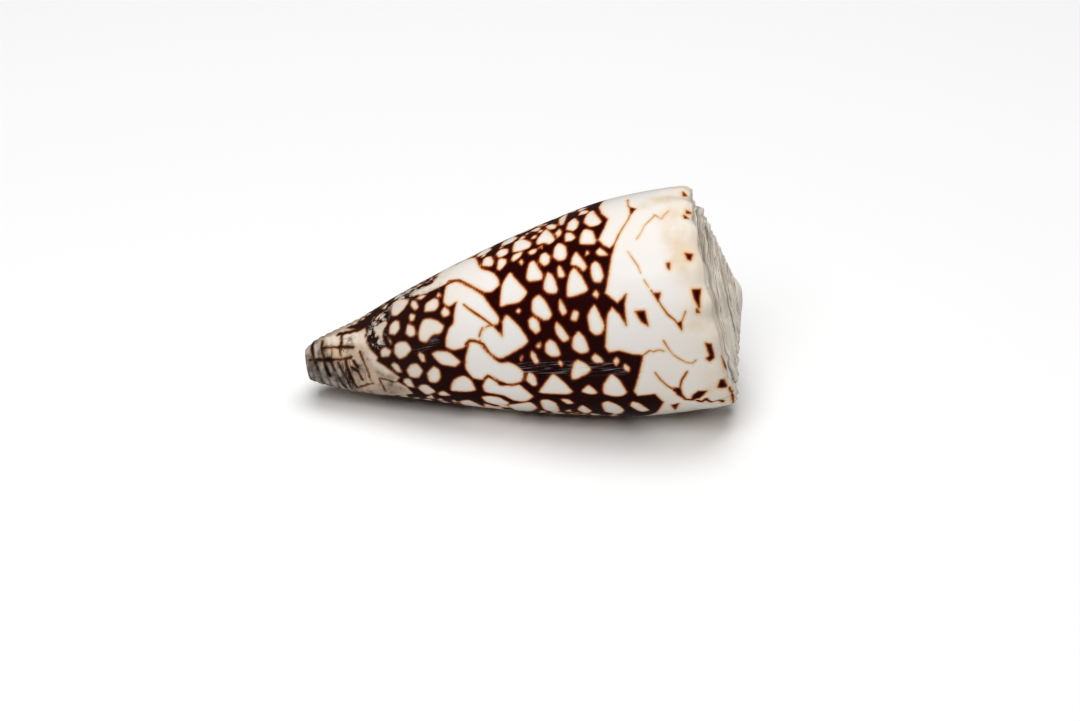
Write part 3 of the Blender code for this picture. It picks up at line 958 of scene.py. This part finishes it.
# The shell's finish: hard polished shell, cream to rust to nearly black by the distance to the nearest patch
WHITE_SHELL = (0.85, 0.82, 0.79)
WARM_SHELL = (0.84, 0.77, 0.69)
STAIN = (0.72, 0.53, 0.30)
NEAR_END = (0.60, 0.50, 0.40)
WORN_TAN = (0.56, 0.42, 0.31)
WORN_BROWN = (0.33, 0.245, 0.18)
PALE_SHELL = (0.74, 0.63, 0.52)
# Dark shell of the tip with painted shade: a shaded tone used as its colour
DARK_SHADED_SHELL = (0.115, 0.095, 0.080)
GREY_SHELL = (0.44, 0.38, 0.33)
BLOTCH = (0.13, 0.085, 0.065)
# Painted shade in the grooves between the ribs
RIB_GROOVE_SHADE = (0.05, 0.035, 0.03)
RUBBED_SHELL = (0.56, 0.50, 0.43)
# Painted glint: the lamps' reflection along fine scratches, as a pale colour
SCRATCH_GLINT_COLOUR = (0.50, 0.47, 0.47)
OLD_GROWTH = (0.56, 0.41, 0.28)
FLECK = (0.06, 0.035, 0.025)
SUTURE = (0.10, 0.07, 0.05)
INSIDE = (0.80, 0.73, 0.68)
material = bpy.data.materials.new("polished_shell")
material.use_nodes = True
nodes, links = material.node_tree.nodes, material.node_tree.links
surface = nodes["Principled BSDF"]
place = nodes.new("ShaderNodeTexCoord")


def attribute(name):
    """The output of a vertex attribute as a number."""
    read = nodes.new("ShaderNodeAttribute")
    read.attribute_name = name
    return read.outputs["Fac"]


def maths(operation, *values, clamp=False):
    """A Math node's output for these values, each a number or an output."""
    made = nodes.new("ShaderNodeMath")
    made.operation = operation
    made.use_clamp = clamp
    for socket, value in zip(made.inputs, values):
        if isinstance(value, (int, float)):
            socket.default_value = value
        else:
            links.new(value, socket)
    return made.outputs[0]


def times(first, second):
    """The product of two values, each a number or an output."""
    return maths("MULTIPLY", first, second)


def blend(factor, first_colour, second_colour, way="MIX"):
    """A mix of two colours, each a tuple or an output, by a factor that is a number or an output."""
    made = nodes.new("ShaderNodeMix")
    made.data_type = "RGBA"
    made.blend_type = way
    if isinstance(factor, float):
        made.inputs[0].default_value = factor
    else:
        links.new(factor, made.inputs[0])
    for socket, colour in ((made.inputs[6], first_colour), (made.inputs[7], second_colour)):
        if isinstance(colour, tuple):
            socket.default_value = (*colour, 1)
        else:
            links.new(colour, socket)
    return made.outputs[2]


def speckle(scale, detail=3.0, roughness=0.5, across=None, along=None):
    """Noise from 0 to 1, over object coordinates or over the coil map at a scale across and along."""
    made = nodes.new("ShaderNodeTexNoise")
    made.inputs["Scale"].default_value = scale
    made.inputs["Detail"].default_value = detail
    made.inputs["Roughness"].default_value = roughness
    if across is None:
        links.new(place.outputs["Object"], made.inputs["Vector"])
    else:
        stretch = nodes.new("ShaderNodeMapping")
        stretch.inputs["Scale"].default_value = (across, along, 1)
        links.new(place.outputs["UV"], stretch.inputs["Vector"])
        links.new(stretch.outputs[0], made.inputs["Vector"])
    return made.outputs["Fac"]


def ramp(value, stops):
    """Colours by value: stops are (position, colour)."""
    made = nodes.new("ShaderNodeValToRGB")
    elements = made.color_ramp.elements
    while len(elements) < len(stops):
        elements.new(0.5)
    for element, (position, colour) in zip(elements, stops):
        element.position = position
        element.color = (*colour, 1)
    links.new(value, made.inputs[0])
    return made.outputs[0]


def between(value, low, high):
    """0 below low, 1 above high, and a straight rise between."""
    return maths("MULTIPLY_ADD", value, 1 / (high - low), -low / (high - low), clamp=True)


# How deep each place lies in the net or in a line, in millimetres, with an uneven edge
wobble = times(maths("SUBTRACT", speckle(1100, 4.0, 0.6), 0.5), 0.30)
depth_in_net = maths("ADD", attribute("net"), wobble)
uneven_line = maths("MULTIPLY_ADD", speckle(260, 3.0, 0.6), 0.44, -0.24)
uneven_worn = times(maths("SUBTRACT", speckle(480, 3.0, 0.6), 0.48), attribute("worn_end"))
uneven_line = maths("MULTIPLY_ADD", uneven_worn, 0.9, uneven_line)
for layer in range(2):
    off_line = maths("ABSOLUTE", attribute(f"line_side_{layer}"))
    in_line = maths("SUBTRACT", attribute(f"line_half_{layer}"), off_line)
    in_line = maths("ADD", in_line, uneven_line)
    depth_in_net = maths("MAXIMUM", depth_in_net, in_line)

# Cream turns to rust and to nearly black over about 0.8 mm, or to grey brown where the surface is worn
level = between(depth_in_net, -1.0, 1.0)
net_colour = ramp(
    level,
    (
        (0.12, (1.0, 1.0, 1.0)),
        (0.29, (0.97, 0.90, 0.81)),
        (0.39, (0.92, 0.73, 0.53)),
        (0.455, (0.70, 0.33, 0.12)),
        (0.515, (0.34, 0.075, 0.018)),
        (0.575, (0.12, 0.011, 0.003)),
        (0.67, (0.020, 0.0010, 0.0006)),
    ),
)
worn_net_colour = ramp(
    level,
    (
        (0.34, (1.0, 1.0, 1.0)),
        (0.44, (0.78, 0.62, 0.48)),
        (0.52, (0.26, 0.15, 0.095)),
        (0.62, (0.034, 0.012, 0.008)),
    ),
)

# The ground under the net: cream with stains, then beige and grey where the siphonal end is worn, dark grey
# brown at its tip with painted shade there and in the rib grooves
cream = blend(between(speckle(60, 4.0), 0.35, 0.7), WHITE_SHELL, WARM_SHELL)
stain_or_rim = maths("MAXIMUM", attribute("stained"), times(attribute("rim"), 0.45))
cream = blend(times(between(speckle(230, 4.0, 0.6), 0.30, 0.62), stain_or_rim), cream, STAIN)
cream = blend(attribute("toward_end"), cream, NEAR_END)
worn_ground = blend(between(speckle(210, 4.0, 0.6), 0.40, 0.60), WORN_TAN, WORN_BROWN)
worn_ground = blend(attribute("pale_end"), worn_ground, PALE_SHELL)
# The tip's dark ground, partly painted shade, with grey patches
dark_shaded_ground = blend(between(speckle(330, 3.0, 0.5), 0.44, 0.60), DARK_SHADED_SHELL, GREY_SHELL)
worn_ground = blend(attribute("dark_end"), worn_ground, dark_shaded_ground)
blotches = times(between(speckle(420, 3.0, 0.6), 0.56, 0.66), 0.75)
worn_ground = blend(blotches, worn_ground, BLOTCH)
ground = blend(attribute("worn_end"), cream, worn_ground)
# Painted shade in the rib grooves
ground = blend(attribute("rib"), ground, RIB_GROOVE_SHADE)

# The net over the ground, with what is rubbed through it, and painted glints along the scratches in it
worn_net = maths("MAXIMUM", attribute("worn_end"), attribute("toward_end"))
marked = blend(1.0, ground, blend(worn_net, net_colour, worn_net_colour), "MULTIPLY")
through = times(between(speckle(760, 3.0, 0.6), 0.50, 0.60), attribute("rubbed"))
marked = blend(through, marked, RUBBED_SHELL)
# Painted glints: pale streaks along fine scratches
glints_on_scratches = between(speckle(1.0, 3.0, 0.5, across=900, along=14), 0.56, 0.64)
glints_on_scratches = times(glints_on_scratches, attribute("scratched"))
marked = blend(times(glints_on_scratches, 0.45), marked, SCRATCH_GLINT_COLOUR)

# The weathered spire: cream, tan and grey along the whorls, with old growth, dark flecks and the suture
spire_colour = ramp(
    speckle(1.0, 5.0, 0.62, across=26, along=28),
    (
        (0.34, (0.36, 0.26, 0.19)),
        (0.42, (0.74, 0.61, 0.49)),
        (0.49, (0.96, 0.87, 0.74)),
        (0.57, (1.0, 0.99, 0.88)),
        (0.68, (0.84, 0.76, 0.69)),
    ),
)
old_growth = times(between(speckle(170, 4.0, 0.65), 0.50, 0.62), 0.30)
spire_colour = blend(old_growth, spire_colour, OLD_GROWTH)
fleck_noise = maths("MULTIPLY_ADD", attribute("flecked"), 0.16, speckle(1.0, 2.0, 0.5, across=48, along=16))
spire_colour = blend(between(fleck_noise, 0.73, 0.75), spire_colour, FLECK)
spire_colour = blend(attribute("suture"), spire_colour, SUTURE)
coloured = blend(attribute("weathered"), marked, spire_colour)
coloured = blend(attribute("inside"), coloured, INSIDE)
links.new(coloured, surface.inputs["Base Color"])
surface.inputs["IOR"].default_value = 1.5
surface.inputs["Specular IOR Level"].default_value = 0.3
dullness = maths("MAXIMUM", attribute("weathered"), times(attribute("worn_end"), 0.5))
links.new(maths("MULTIPLY_ADD", dullness, 0.45, 0.25), surface.inputs["Roughness"])

# Growth lines too fine for the mesh, as a slight bump
growth_lines = speckle(1.0, 4.0, 0.6, across=420, along=5)
raised = nodes.new("ShaderNodeBump")
raised.inputs["Strength"].default_value = 0.5
raised.inputs["Distance"].default_value = 0.000012
links.new(growth_lines, raised.inputs["Height"])
links.new(raised.outputs[0], surface.inputs["Normal"])
mesh.materials.append(material)

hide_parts("shell")
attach(shell, "root")

# The floor: a wide white sheet of studio paper
FLOOR_SIDE = 6.0
PAPER = (0.93, 0.93, 0.93, 1)
half = FLOOR_SIDE / 2
floor_corners = [(-half, -half, 0), (half, -half, 0), (half, half, 0), (-half, half, 0)]
floor_mesh = bpy.data.meshes.new("floor")
floor_mesh.from_pydata(floor_corners, [], [(0, 1, 2, 3)])
paper = bpy.data.materials.new("studio_paper")
paper.use_nodes = True
paper_surface = paper.node_tree.nodes["Principled BSDF"]
paper_surface.inputs["Base Color"].default_value = PAPER
paper_surface.inputs["Roughness"].default_value = 0.9
floor_mesh.materials.append(paper)
floor = bpy.data.objects.new("floor", floor_mesh)
floor.visible_glossy = False
bpy.context.scene.collection.objects.link(floor)

# The light: a dim white room, two wide soft lamps, and a small one that leaves the highlight
world = bpy.data.worlds.new("studio")
world.use_nodes = True
room_light = world.node_tree.nodes["Background"]
room_light.inputs["Color"].default_value = (1, 1, 1, 1)
room_light.inputs["Strength"].default_value = 0.055
bpy.context.scene.world = world
LAMPS = (
    # name, place, width, watts, and whether polished things mirror it
    ("front", (-0.20, -0.50, 0.80), 0.75, 5.0, False),
    ("overhead", (0.05, 0.15, 0.90), 0.80, 6.4, False),
    ("small", (-0.21, -0.41, 0.80), 0.12, 0.3, True),
)
LIT_PLACE = (0, 0, 0.015)
for name, lamp_place, lamp_width, watts, mirrored in LAMPS:
    lamp_data = bpy.data.lights.new(name, "AREA")
    lamp_data.shape = "DISK"
    lamp_data.size = lamp_width
    lamp_data.energy = watts
    lamp = bpy.data.objects.new(name, lamp_data)
    lamp.visible_glossy = mirrored
    lamp.location = lamp_place
    to_shell = Vector(LIT_PLACE) - Vector(lamp_place)
    lamp.rotation_euler = to_shell.to_track_quat("-Z", "Y").to_euler()
    bpy.context.scene.collection.objects.link(lamp)
bpy.context.scene.view_settings.view_transform = "Standard"
